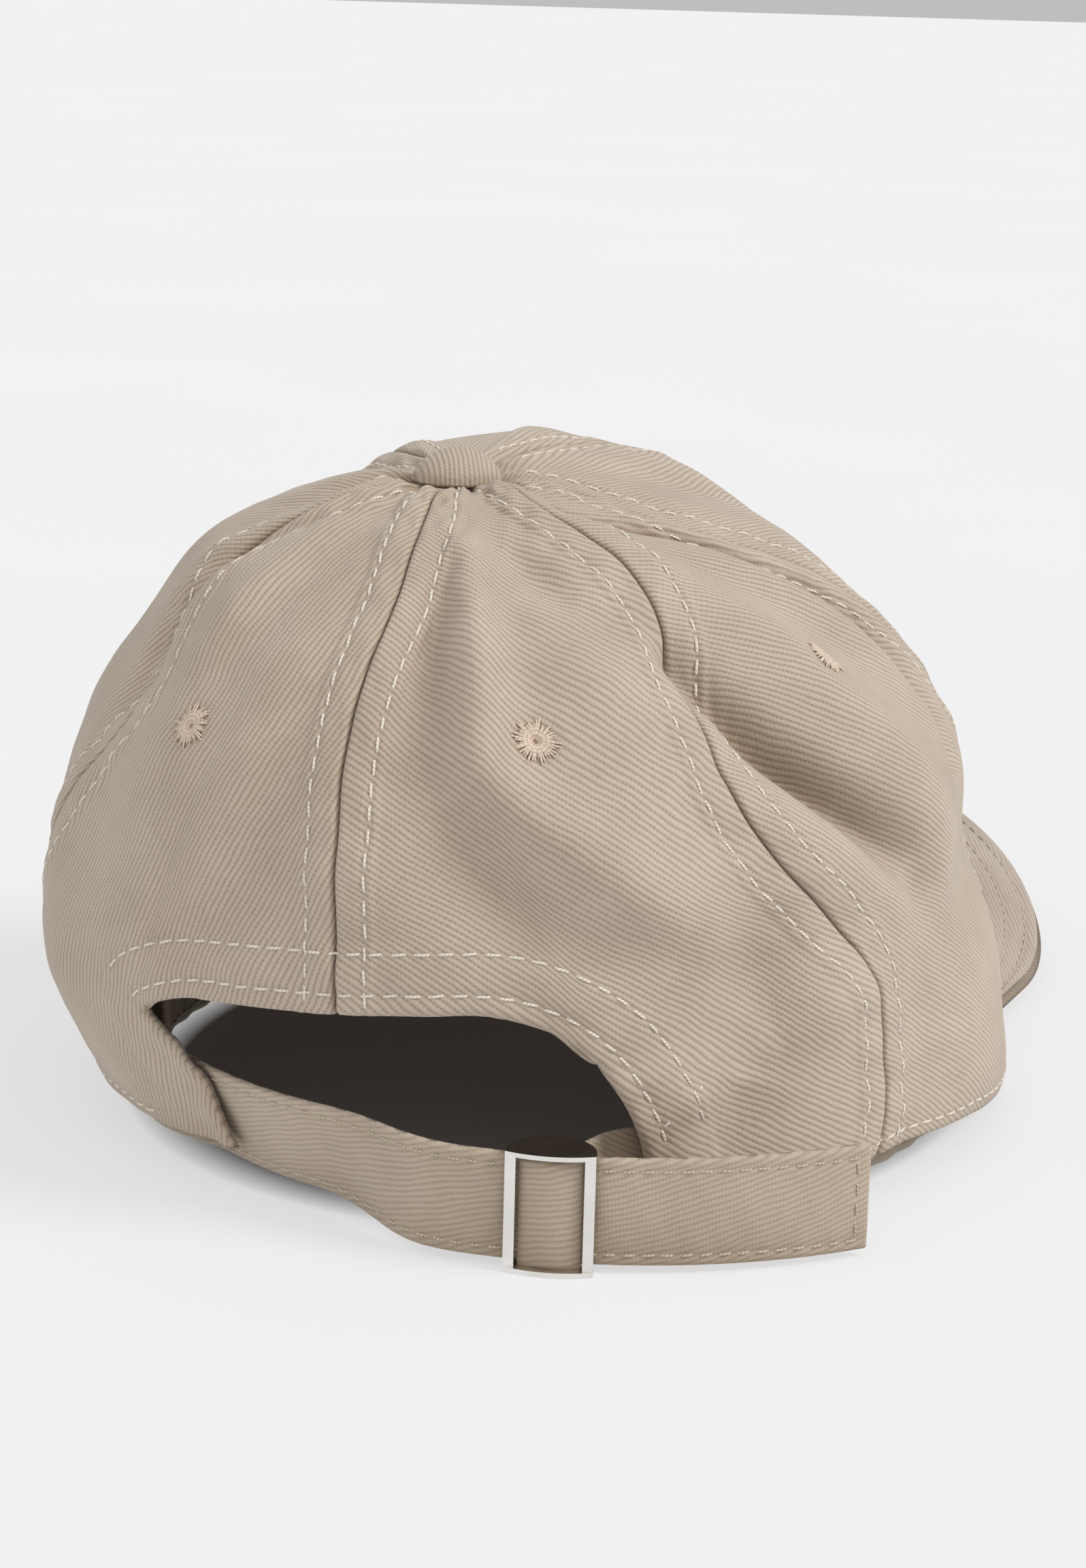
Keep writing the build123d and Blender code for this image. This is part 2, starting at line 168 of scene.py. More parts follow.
# Folds: a line of (angle, height) points, half width across in mm, height (negative for a valley).
FOLDS = [
    ([(120, 110), (121, 102), (121, 92), (121, 82), (127, 73), (137, 64), (146, 57), (152, 50)], 6.5, 4.6),
    ([(113, 108), (112, 100), (112, 91), (110, 82)], 5.5, -3.0),
    ([(112, 76), (119, 68), (129, 58), (140, 50)], 9.0, -3.6),
    ([(132, 112), (140, 108), (146, 103)], 7.0, -2.6),
    ([(135, 98), (143, 88), (150, 76)], 9.0, 1.8),
    ([(160, 95), (164, 86), (170, 78), (176, 70), (182, 62), (189, 52)], 4.4, -9.4),
    ([(157, 99), (158, 93), (161, 86)], 4.0, -2.6),
    ([(170, 107), (177, 97), (181, 88), (186, 79), (191, 68), (195, 56)], 8.0, 4.2),
    ([(154, 80), (160, 72), (169, 62), (180, 52)], 7.0, 3.0),
    ([(172, 116), (196, 111), (206, 103), (211, 95), (212, 84), (207, 68)], 3.0, -5.6),
    ([(168, 113), (188, 107), (198, 99), (203, 91), (204, 80)], 5.0, 2.2),
    ([(150, 52), (158, 46), (163, 40)], 7.0, -3.2),
    ([(160, 34), (168, 38), (176, 44)], 8.0, 2.8),
    ([(152, 10), (155, 18), (158, 26)], 5.0, -2.6),
    ([(183, 8), (185, 20), (186, 34)], 6.0, -2.2),
    ([(60, 114), (44, 106), (41, 96), (42, 86), (38, 74)], 5.0, -3.4),
    ([(64, 108), (62, 96), (60, 80)], 8.0, 1.8),
    ([(92, 84), (88, 70), (92, 56), (100, 48)], 9.0, -1.6),
    ([(84, 60), (78, 46), (70, 36)], 7.0, -1.2),
    ([(285, 112), (292, 100), (296, 86)], 9.0, -2.4),
    ([(320, 108), (334, 96), (342, 80)], 8.0, -2.4),
    ([(335, 60), (350, 48), (8, 40)], 10.0, -2.2),
]


def unroll(b, z):
    """Angle and height as millimetres on a flattened crown, near enough to measure distances."""
    return np.stack([np.radians(turn(b - BACK)) * FLAT_RADIUS, t_at(z) * LENGTH], -1)


def dense(points, n=60):
    """A smooth line of (angle, height) points, as n points."""
    p = np.array(points, float)
    p[:, 0] = BACK + turn(p[:, 0] - BACK)
    u = np.linspace(0, len(p) - 1, n)
    return curve(u, np.arange(len(p)), p)


def distance_to(line, b, z):
    """Distance in mm from (b, z) to a line, and how far along the line the nearest point is (0 to 1)."""
    d = dense(line)
    flat = unroll(d[:, 0], d[:, 1])
    here = unroll(b, z)
    best, where = np.full(here.shape[:-1], 1e9), np.zeros(here.shape[:-1])
    for i, p in enumerate(flat):
        gap = np.hypot(here[..., 0] - p[0], here[..., 1] - p[1])
        nearer = gap < best
        best, where = np.where(nearer, gap, best), np.where(nearer, i / (len(flat) - 1), where)
    return best, where


def slumped(b, t):
    """The plain shape with the crown's slump."""
    b, t = np.broadcast_arrays(np.asarray(b, float), np.asarray(t, float))
    p, n = plain(b, t), normal_of(plain, b, t)
    z = p[..., 2]
    away = 1 - groove(from_button(p), 20)
    push = sum(a * patch(b, z, b0, z0, wide, high) for b0, z0, wide, high, a in SLUMP)
    return p + n * (push * away)[..., None]


def plane_wave(flat, length, heading, phase):
    """A wave over the flattened crown, -1 to 1."""
    way = flat[..., 0] * np.cos(heading) + flat[..., 1] * np.sin(heading)
    return np.cos(way * 2 * np.pi / length + phase)


FOLD_STEP = 1.5
FOLD_ANGLES = np.arange(0, 361, FOLD_STEP)
FOLD_SHARES = np.linspace(0, 1, 141)
RIPPLES = 26


def make_folds():
    """Fold heights on a fixed grid of angles and shares."""
    b, t = np.meshgrid(FOLD_ANGLES, FOLD_SHARES, indexing="ij")
    z = z_at(t)
    total = np.zeros(b.shape)
    for line, half, high in FOLDS:
        gap, along = distance_to(line, b, z)
        total += high * groove(gap, half) * np.sin(np.pi * np.clip(along, 0.06, 0.94)) ** 0.6
    # Loose cloth is never quite even: a few broad ripples in every direction.
    flat = unroll(b, z)
    fade = step(np.abs(turn(b - 180 - BACK)), 178, 150)
    for _ in range(RIPPLES):
        length = rng.uniform(26, 70)
        heading, phase = rng.uniform(0, 2 * np.pi, 2)
        total += 0.010 * length / 2.6 * plane_wave(flat, length, heading, phase) * fade
    return total


def fold(b, t):
    """The fold height at any point of the crown, between the grid's own."""
    i = (np.asarray(b, float) % 360) / FOLD_STEP
    j = np.clip(np.asarray(t, float), 0, 1) * (len(FOLD_SHARES) - 1)
    i0 = np.minimum(np.floor(i).astype(int), len(FOLD_ANGLES) - 2)
    j0 = np.minimum(np.floor(j).astype(int), len(FOLD_SHARES) - 2)
    fi, fj = i - i0, j - j0
    h = FOLD_HEIGHT
    low = h[i0, j0] * (1 - fi) + h[i0 + 1, j0] * fi
    high = h[i0, j0 + 1] * (1 - fi) + h[i0 + 1, j0 + 1] * fi
    return low * (1 - fj) + high * fj


FOLD_HEIGHT = make_folds()

# How far the soft rim stands up off the table: angle, height.
RIM_LIFT = [(0, 4.0), (30, 6.0), (75, 8.5), (100, 3.0), (140, 2.0), (160, 5.0), (178, 8.0), (195, 6.5), (212, 2.0),
            (232, 0.0), (270, 0.0), (320, 0.0), (345, 2.0), (360, 4.0)]


def crown(b, t):
    """The crown's outer surface before seams are pressed into it."""
    b, t = np.broadcast_arrays(np.asarray(b, float), np.asarray(t, float))
    p, n = slumped(b, t), normal_of(slumped, b, t)
    p = p + n * fold(b, t)[..., None]
    lift = np.interp(b % 360, [a for a, _ in RIM_LIFT], [h for _, h in RIM_LIFT])
    p[..., 2] += lift * np.clip(1 - p[..., 2] / 40, 0, 1) ** 1.5
    # The cloth is pulled down in a ring round the button.
    p[..., 2] -= 1.9 * groove(from_button(p) - 7.5, 3.6)
    return p


# Seams: angle about the button at each height.
SEAM_HEIGHTS = (0, 20, 40, 55, 62, 70, 78, 86, 93, 99, 104, 110, 115, 118, 119.6)
SEAMS = {
    "back": (101, 101, 101, 100.5, 100, 100, 99.5, 99.5, 100, 101, 102, 102, 102, 101, 101),
    "back_right": (176, 177, 175.5, 167, 162, 158, 156, 156, 157, 160, 162, 163, 161, 156, 155),
    "front_right": (229, 228, 227, 225, 224, 223, 222, 221, 219, 217, 214, 209, 204, 205, 206),
    "front": (262, 262, 262, 262, 262, 262, 262, 262, 262, 262, 262, 262, 262, 262, 262),
    "front_left": (308, 308, 308, 308, 309, 310, 311, 311, 312, 312, 312, 313, 314, 316, 316),
    "back_left": (372, 376, 384, 393, 397, 401, 405, 408, 406, 404, 402, 404, 410, 414, 415),
}
PANELS = {
    "back_panel_right": ("back", "back_right"), "side_panel_right": ("back_right", "front_right"),
    "front_panel_right": ("front_right", "front"), "front_panel_left": ("front", "front_left"),
    "side_panel_left": ("front_left", "back_left"), "back_panel_left": ("back_left", "back"),
}


def seam_at(name, t):
    return curve(z_at(t), SEAM_HEIGHTS, SEAMS[name])


# The back opening's edge, from the left corner over the top to the right corner: angle, height.
ARCH_LEFT = [(79, 1.0), (77, 9), (73.5, 19), (69.5, 26), (66.0, 30.2)]
ARCH_TOP = [(66.0, 30.2), (68.0, 32.4), (73, 35.2), (80, 37.2), (90, 38.4), (101, 39.2), (112, 40.2),
            (122, 40.6), (130, 37.9), (136, 32.2)]
ARCH_RIGHT = [(136, 32.2), (140.0, 24), (142.6, 15), (144.5, 1.0)]


def arch_line(b):
    """Height of the line that the opening's top runs along; it goes on level inside the panels."""
    pts = [(0, 29), (40, 29), (60, 29.2)] + ARCH_TOP + [(144, 31), (160, 30), (180, 30)]
    return curve(b, [p[0] for p in pts], [p[1] for p in pts])


# Eyelets: angle, height.
EYELETS = {
    "back_right": (129.3, 84.5), "side_right": (184.3, 91.0), "front_right": (246, 84),
    "front_left": (286, 84), "side_left": (350, 84), "back_left": (68.5, 81.3),
}


def write_mesh(name, points, faces, uv, material):
    """A smooth mesh object from points in mm, with a UV for each point."""
    mesh = bpy.data.meshes.new(name)
    metres = np.asarray(points, float).reshape(-1, 3) * MM
    mesh.from_pydata(metres.tolist(), [], [list(map(int, f)) for f in faces])
    layer = mesh.uv_layers.new(name="weave")
    index = np.zeros(len(mesh.loops), int)
    mesh.loops.foreach_get("vertex_index", index)
    layer.data.foreach_set("uv", np.asarray(uv, np.float32).reshape(-1, 2)[index].ravel())
    mesh.polygons.foreach_set("use_smooth", [True] * len(mesh.polygons))
    mesh.update()
    made = bpy.data.objects.new(name, mesh)
    bpy.context.scene.collection.objects.link(made)
    mesh.materials.append(material)
    return made


def grid_faces(n, m, first=0, flip=False):
    """Quads of an n by m grid of points that starts at the index first."""
    i, j = np.meshgrid(np.arange(n - 1), np.arange(m - 1), indexing="ij")
    a = first + i * m + j
    f = np.stack([a, a + m, a + m + 1, a + 1], -1).reshape(-1, 4)
    return f[:, ::-1] if flip else f


def slab(out, inside, uv):
    """A sheet with thickness from two matching grids of points: points, faces, uv."""
    n, m = out.shape[:2]
    k = n * m
    ring = [i * m for i in range(n)] + [(n - 1) * m + j for j in range(1, m)]
    ring += [i * m + m - 1 for i in range(n - 2, -1, -1)] + [j for j in range(m - 2, 0, -1)]
    side = [(a, b, b + k, a + k) for a, b in zip(ring, ring[1:] + ring[:1])]
    faces = grid_faces(n, m).tolist() + grid_faces(n, m, k, True).tolist() + [s[::-1] for s in side]
    return np.concatenate([out.reshape(-1, 3), inside.reshape(-1, 3)]), faces, np.concatenate([uv.reshape(-1, 2)] * 2)


def rotate_uv(uv, degrees):
    c, s = math.cos(math.radians(degrees)), math.sin(math.radians(degrees))
    return np.stack([uv[..., 0] * c + uv[..., 1] * s, uv[..., 1] * c - uv[..., 0] * s], -1)


# ---------------------------------------------------------------- materials
def nodes_of(name):
    """A new material, its node tree and its shader."""
    m = bpy.data.materials.new(name)
    m.use_nodes = True
    tree = m.node_tree
    return m, tree, tree.nodes["Principled BSDF"]


def add_node(tree, kind, **values):
    """A new node with values for its inputs or its own settings."""
    n = tree.nodes.new(kind)
    for key, value in values.items():
        if key in n.inputs:
            n.inputs[key].default_value = value
        else:
            setattr(n, key, value)
    return n


def maths(tree, op, a, b=None, c=None):
    n = tree.nodes.new("ShaderNodeMath")
    n.operation = op
    for i, v in enumerate((a, b, c)):
        if v is None:
            continue
        if isinstance(v, (int, float)):
            n.inputs[i].default_value = v
        else:
            tree.links.new(v, n.inputs[i])
    return n.outputs[0]


def ramp(tree, fac, stops):
    n = tree.nodes.new("ShaderNodeValToRGB")
    tree.links.new(fac, n.inputs[0])
    el = n.color_ramp.elements
    while len(el) < len(stops):
        el.new(0.5)
    for e, (pos, colour) in zip(el, stops):
        e.position, e.color = pos, (*colour, 1)
    return n.outputs[0]


def mix_colour(tree, kind, fac, a, b):
    n = tree.nodes.new("ShaderNodeMix")
    n.data_type, n.blend_type = "RGBA", kind
    for socket, v in ((n.inputs[0], fac), (n.inputs[6], a), (n.inputs[7], b)):
        if isinstance(v, (int, float)):
            socket.default_value = v
        elif isinstance(v, tuple):
            socket.default_value = (*v, 1)
        else:
            tree.links.new(v, socket)
    return n.outputs[2]


def split(tree, vector):
    """The x, y and z of a vector."""
    cut = tree.nodes.new("ShaderNodeSeparateXYZ")
    tree.links.new(vector, cut.inputs[0])
    return cut.outputs


def settle(shader, **values):
    """Sets the shader's own plain values, named with _ for a space."""
    for key, value in values.items():
        shader.inputs[key.replace("_", " ")].default_value = value


def add_bump(tree, height, strength, distance, to):
    """Relief from a height, linked into a normal socket."""
    bump = add_node(tree, "ShaderNodeBump", Strength=strength, Distance=distance)
    tree.links.new(height, bump.inputs["Height"])
    tree.links.new(bump.outputs[0], to)
    return bump


def wave(tree, angle):
    """A sine wave from 0 to 1."""
    return maths(tree, "MULTIPLY_ADD", maths(tree, "SINE", angle), 0.5, 0.5)


def srgb(r, g, b):
    """Linear colour of an 8-bit display colour."""
    return tuple(((c / 255 + 0.055) / 1.055) ** 2.4 if c > 10 else c / 3294 for c in (r, g, b))


def noise(tree, vector, scale, detail=3.0, rough=0.6):
    n = add_node(tree, "ShaderNodeTexNoise", Scale=scale, Detail=detail, Roughness=rough)
    tree.links.new(vector, n.inputs["Vector"])
    return n.outputs["Fac"]


def twill(name, light, dark, pitch=1.2, depth=0.12):
    """Cotton twill. UV x runs across the ribs and y along them, in mm."""
    m, tree, shader = nodes_of(name)
    uv = add_node(tree, "ShaderNodeUVMap", uv_map="weave").outputs[0]
    x, y, _ = split(tree, uv)

    def calc(*terms):
        return maths(tree, *terms)

    drift = calc("MULTIPLY", calc("SUBTRACT", noise(tree, uv, 0.05, 2.0), 0.5), 3.0)
    jitter = calc("MULTIPLY", calc("SUBTRACT", noise(tree, uv, 1.4, 3.0, 0.6), 0.5), 0.30)
    ribs = calc("DIVIDE", calc("ADD", calc("ADD", x, drift), jitter), pitch)
    rib = wave(tree, calc("MULTIPLY", ribs, 2 * math.pi))
    # The yarns over a rib are set on a little from those of the rib before.
    yarns = calc("ADD", calc("DIVIDE", y, pitch * 0.62), calc("MULTIPLY", calc("FLOOR", ribs), 0.37))
    yarn = wave(tree, calc("MULTIPLY", yarns, 2 * math.pi))
    lumps = noise(tree, uv, 0.9, 5.0, 0.75)
    high = calc("MULTIPLY", calc("POWER", rib, 0.75), 0.70)
    high = calc("ADD", high, calc("MULTIPLY", yarn, 0.20))
    high = calc("ADD", high, calc("MULTIPLY", lumps, 0.35))
    body = noise(tree, uv, 0.045, 4.0, 0.55)
    fibre = noise(tree, uv, 6.0, 4.0, 0.8)
    tone = ramp(tree, high, [(0.14, dark), (0.80, light)])
    wash = ramp(tree, body, [(0.3, (0.90, 0.885, 0.865)), (0.7, (1.06, 1.06, 1.06))])
    tone = mix_colour(tree, "MULTIPLY", 1.0, tone, wash)
    grain = ramp(tree, fibre, [(0.25, (0.86, 0.85, 0.84)), (0.75, (1.10, 1.10, 1.10))])
    tone = mix_colour(tree, "MULTIPLY", 0.75, tone, grain)
    # Painted shade: an ambient occlusion mask darkens the colour in creases and along seams, where shade falls.
    occlusion = add_node(tree, "ShaderNodeAmbientOcclusion", Distance=14 * MM, samples=6)
    painted_crease_shade = ramp(tree, occlusion.outputs["AO"], [(0.45, (0.66, 0.61, 0.55)), (0.92, (1.0, 1.0, 1.0))])
    tone = mix_colour(tree, "MULTIPLY", 0.85, tone, painted_crease_shade)
    tree.links.new(tone, shader.inputs["Base Color"])
    hair = add_bump(tree, fibre, 0.35, 0.10 * MM, shader.inputs["Normal"])
    add_bump(tree, high, 0.58, depth * MM * 2.2, hair.inputs["Normal"])
    settle(shader, Roughness=0.92, Specular_IOR_Level=0.18, Sheen_Weight=0.22, Sheen_Roughness=0.55)
    return m


def thread_material(name, light, dark):
    """Twisted sewing thread. UV x runs along the thread in mm and y round it."""
    m, tree, shader = nodes_of(name)
    uv = add_node(tree, "ShaderNodeUVMap", uv_map="weave").outputs[0]
    along, round_, _ = split(tree, uv)
    ply = wave(tree, maths(tree, "ADD", maths(tree, "MULTIPLY", along, 2 * math.pi / 0.75), round_))
    hair = maths(tree, "MULTIPLY", noise(tree, uv, 4.0, 3.0), 0.5)
    shade = maths(tree, "ADD", maths(tree, "MULTIPLY", ply, 0.6), hair)
    tree.links.new(ramp(tree, shade, [(0.15, dark), (0.7, light)]), shader.inputs["Base Color"])
    add_bump(tree, ply, 0.6, 0.10 * MM, shader.inputs["Normal"])
    settle(shader, Roughness=0.6, Sheen_Weight=0.25)
    return m


def metal(name, colour, rough, brushed=0.0):
    """Plated metal with faint smudges."""
    m, tree, shader = nodes_of(name)
    where = tree.nodes.new("ShaderNodeTexCoord").outputs["Object"]
    smudge = noise(tree, where, 180, 4.0, 0.6)
    fine = noise(tree, where, 2600, 3.0, 0.7)
    tone = ramp(tree, smudge, [(0.3, tuple(c * 0.9 for c in colour)), (0.7, colour)])
    tree.links.new(tone, shader.inputs["Base Color"])
    tree.links.new(maths(tree, "MULTIPLY_ADD", smudge, 0.12, rough), shader.inputs["Roughness"])
    settle(shader, Metallic=1.0)
    add_bump(tree, fine, 0.12 + brushed, 0.05 * MM, shader.inputs["Normal"])
    return m


def board_material():
    """The visor's moulded plastic board."""
    m, tree, shader = nodes_of("board")
    where = tree.nodes.new("ShaderNodeTexCoord").outputs["Object"]
    speck = noise(tree, where, 900, 4.0)
    tone = ramp(tree, speck, [(0.3, srgb(196, 190, 176)), (0.7, srgb(226, 221, 208))])
    tree.links.new(tone, shader.inputs["Base Color"])
    settle(shader, Roughness=0.55)
    return m


TWILL = twill("twill", srgb(196, 181, 164), srgb(157, 141, 123))
# Painted shade: the visor's twill is a darker copy of the crown's, so that the visor stays dim though the key light
# falls on it.
DIMMED_VISOR_TWILL = twill("visor_twill", srgb(184, 171, 158), srgb(156, 142, 129), 1.1, 0.08)
STRAP_TWILL = twill("strap_twill", srgb(190, 175, 157), srgb(164, 149, 131), 1.0, 0.08)
TAPE = twill("tape_weave", srgb(184, 170, 152), srgb(150, 136, 120), 0.7, 0.06)
BAND = twill("sweatband_cotton", srgb(186, 172, 156), srgb(156, 142, 127), 0.6, 0.05)
THREAD = thread_material("thread", srgb(236, 228, 214), srgb(196, 184, 166))
TONE_THREAD = thread_material("tone_thread", srgb(202, 188, 166), srgb(150, 134, 112))
EYELET_THREAD = thread_material("eyelet_thread", srgb(222, 202, 182), srgb(190, 168, 148))
NICKEL = metal("nickel", (0.86, 0.84, 0.80), 0.16)
STEEL = metal("button_metal", (0.62, 0.62, 0.60), 0.32, 0.1)
BOARD = board_material()

CAD_LOOK = {"buckle_frame": NICKEL, "buckle_centre_bar": NICKEL, "button_shell": STEEL,
            "button_post": STEEL, "button_washer": STEEL, "visor_board": BOARD}
for node_name, look in CAD_LOOK.items():
    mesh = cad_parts[node_name].data
    mesh.materials.clear()
    mesh.materials.append(look)

# ---------------------------------------------------------------- fine relief of the panels
ROW_OFFSET = 5.3


def seam_offset(t):
    """How far a top-stitch row runs from its seam: it closes in towards the button."""
    return np.minimum(ROW_OFFSET, 1.6 + 0.16 * from_button(slumped(np.full(np.shape(t), BACK), t)))


def degrees_for(name, t, gap):
    """The change of angle that moves a point a given distance to the side of a seam."""
    b = seam_at(name, t)
    p = slumped(b, t)
    after = slumped(seam_at(name, np.minimum(t + 0.01, 1)), np.minimum(t + 0.01, 1))
    before = slumped(seam_at(name, np.maximum(t - 0.01, 0)), np.maximum(t - 0.01, 0))
    way = unit(after - before)
    side = slumped(b + 0.5, t) - p
    size = np.linalg.norm(side, axis=-1, keepdims=True) + 1e-9
    lean = np.sqrt(np.maximum(1 - (side / size * way).sum(-1) ** 2, 0.15))
    return np.minimum(0.5 * gap / (size[..., 0] * lean), 40)


def polyline_distance(here, line):
    """Distance from flattened points to a flattened polyline."""
    best = np.full(here.shape[:-1], 1e9)
    for a, b in zip(line[:-1], line[1:]):
        d = b - a
        s = np.clip(((here - a) @ d) / (d @ d + 1e-9), 0, 1)
        best = np.minimum(best, np.linalg.norm(here - a - s[..., None] * d, axis=-1))
    return best


def offset_line(points, gap, n=200):
    """A line moved outwards from the opening by gap mm: its angles, heights and flattened points."""
    d = dense(points, n)
    flat = unroll(d[:, 0], d[:, 1])
    way = unit(np.gradient(flat, axis=0))
    flat = flat + np.stack([-way[:, 1], way[:, 0]], 1) * gap
    angle = np.degrees(flat[:, 0] / FLAT_RADIUS) + BACK
    return angle, z_at(np.clip(flat[:, 1] / LENGTH, 0, 1)), flat


arch_points = ARCH_TOP + ARCH_RIGHT[1:-1]
arch_edge = offset_line(ARCH_LEFT[:-1] + ARCH_TOP + ARCH_RIGHT[1:], 0.0)[2]
arch_rows = [offset_line(arch_points, 3.6), offset_line(arch_points, 10.6)]
pucker_waves = [(rng.uniform(7, 15), *rng.uniform(0, 2 * np.pi, 2), rng.uniform(0.4, 1)) for _ in range(10)]


def ripple(flat):
    """Small puckers, about 1 high at most."""
    return sum(size * plane_wave(flat, *way) for *way, size in pucker_waves) / 5


def relief(b, t, own=None):
    """Height in mm added to the crown by seams, rows of stitching, hems and eyelets."""
    z = z_at(t)
    flat = unroll(b, z)
    p = slumped(b, t)
    total = np.zeros(b.shape)
    near_seam = np.zeros(b.shape)
    for name in (own or SEAMS):
        wide = degrees_for(name, t, 1.0)
        gap = np.abs(turn(b - seam_at(name, t))) / wide
        row = seam_offset(t)
        total += 0.50 * step(gap, row + 2.2, row + 0.6)
        total -= ROW_DEPTH * groove(gap - row, ROW_WIDE)
        total -= 1.1 * round_off(gap, 1.3)
        near_seam = np.maximum(near_seam, step(gap, row + 7, row - 1) * step(gap, 0, 2))
    if own and "back" in own:
        edge = polyline_distance(flat, arch_edge)
        total += 0.45 * step(edge, 12.4, 11.2)
        for _, _, line in arch_rows:
            total -= ROW_DEPTH * groove(polyline_distance(flat, line), ROW_WIDE)
        total -= round_off(edge, 1.2)
        near_seam = np.maximum(near_seam, step(edge, 16, 9))
    up = t * LENGTH
    hem = step(np.abs(turn(b - BACK)), 42, 50)
    total -= hem * ROW_DEPTH * groove(up - HEM_ROW, ROW_WIDE)
    total += hem * 0.35 * step(up, 6.2, 5.0)
    total -= round_off(up, 1.2)
    total += ripple(flat) * (0.10 + 0.42 * near_seam)
    for eb, ez in EYELETS.values():
        centre = slumped(np.array(eb, float), t_at(ez))
        r = np.linalg.norm(p - centre, axis=-1)
        total += -0.45 * groove(r, 0.8) + 0.12 * groove(r - 5.4, 1.4) - 0.12 * groove(r - 2.8, 1.5)
    return total


def on_crown(b, t, lift=0.0, own=None):
    """Points on the finished crown, and their outward normals."""
    b, t = np.broadcast_arrays(np.asarray(b, float), np.asarray(t, float))
    p, n = crown(b, t), normal_of(crown, b, t)
    return p + n * (relief(b, t, own) + lift)[..., None], n


def row_lengths(p):
    """Distance along a line of points, from its start."""
    return np.concatenate([[0], np.cumsum(np.linalg.norm(np.diff(p, axis=0), axis=1))])


def cloth_uv(p):
    """Millimetres along the grid's rows and columns, measured from its middle column."""
    du = np.linalg.norm(np.diff(p, axis=0), axis=-1)
    u = np.concatenate([np.zeros((1, p.shape[1])), np.cumsum(du, 0)])
    u -= u[len(u) // 2]
    dv = np.linalg.norm(np.diff(p, axis=1), axis=-1)
    v = np.concatenate([np.zeros((p.shape[0], 1)), np.cumsum(dv, 1)], 1)
    middle = v[len(u) // 2]
    return np.stack([u, np.broadcast_to(middle, u.shape)], -1)


# ---------------------------------------------------------------- panels
# Direction of the twill's ribs on each panel, in degrees.
GRAIN = {"back_panel_right": 54, "side_panel_right": 50, "front_panel_right": 60, "front_panel_left": -20,
         "side_panel_left": -12, "back_panel_left": -6}


def front_rise(x, y):
    """Height of the rim: at the front it rises along the visor."""
    arch = VISOR_AXIS_Z + np.sqrt(np.clip(VISOR_UNDER**2 - x**2, 0, None))
    return np.where(y < -20, np.maximum(arch, 0), 0)


def rim_share(b):
    """The share t at which the rim lies."""
    t = np.zeros(b.shape)
    for _ in range(12):
        p = plain(b, t)
        t = t_at(front_rise(p[..., 0], p[..., 1]))
    return t


def packed(n, amount):
    """Shares from 0 to 1, packed closer at both ends."""
    s = np.linspace(0, 1, n)
    return s - amount * np.sin(2 * np.pi * s)


def shell(sheets, thick):
    """One closed piece of cloth from sheets that share an edge: grids of outer points, normals and UVs."""
    n_all = np.concatenate([n.reshape(-1, 3) for _, n, _ in sheets])
    p_all = np.concatenate([p.reshape(-1, 3) for p, _, _ in sheets])
    uv_all = np.concatenate([w.reshape(-1, 2) for _, _, w in sheets])
    faces, first = [], 0
    for p, _, _ in sheets:
        faces.append(grid_faces(*p.shape[:2], first))
        first += p.shape[0] * p.shape[1]
    _, keep, same = np.unique(np.round(p_all, 2), axis=0, return_index=True, return_inverse=True)
    same = same.reshape(-1)
    points, normals, uv = p_all[keep], n_all[keep], uv_all[keep]
    quads = same[np.concatenate(faces)]
    quads = [list(dict.fromkeys(q)) for q in quads.tolist()]
    quads = [q for q in quads if len(q) > 2]
    seen = {}
    for q in quads:
        for i, j in zip(q, q[1:] + q[:1]):
            seen[(i, j)] = True
    k = len(points)
    sides = [(j, i, i + k, j + k) for i, j in seen if (j, i) not in seen]
    inner = [[i + k for i in q[::-1]] for q in quads]
    return np.concatenate([points, points - normals * thick]), quads + inner + sides, np.concatenate([uv, uv])


